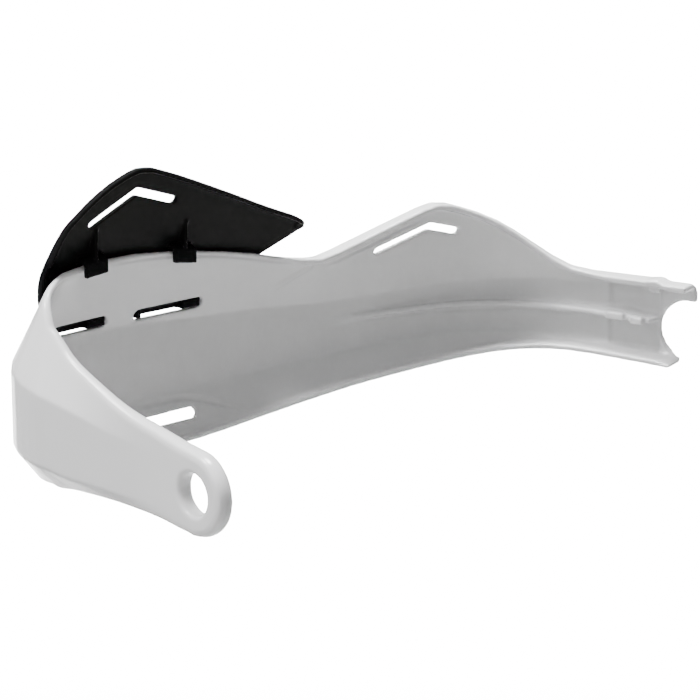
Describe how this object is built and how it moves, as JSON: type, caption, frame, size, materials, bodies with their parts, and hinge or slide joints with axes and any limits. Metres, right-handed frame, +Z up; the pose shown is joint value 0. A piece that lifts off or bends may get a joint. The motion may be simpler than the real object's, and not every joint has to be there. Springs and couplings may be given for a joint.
{
  "type": "motorcycle hand guard",
  "caption": "Wrap-round hand guard for a handlebar grip: a moulded shell with a bar-end bore at one end, a half-round bar saddle at the other, and a clip-on wind deflector.",
  "frame": {"origin": "middle of the bar-end bore, halfway through the ear, on the bore's axis", "axes": "+X along the handlebar grip, inboard from the bar end; +Y forward; +Z up"},
  "size_m": [0.3048, 0.1324, 0.1206],
  "materials": {
    "guard_shell": "smooth moulded gloss, pale grey-white",
    "spoiler": "satin black moulded plastic"
  },
  "bodies": {
    "root": {"guard_shell": "guard_shell", "spoiler": "spoiler"}
  },
  "joints": []
}
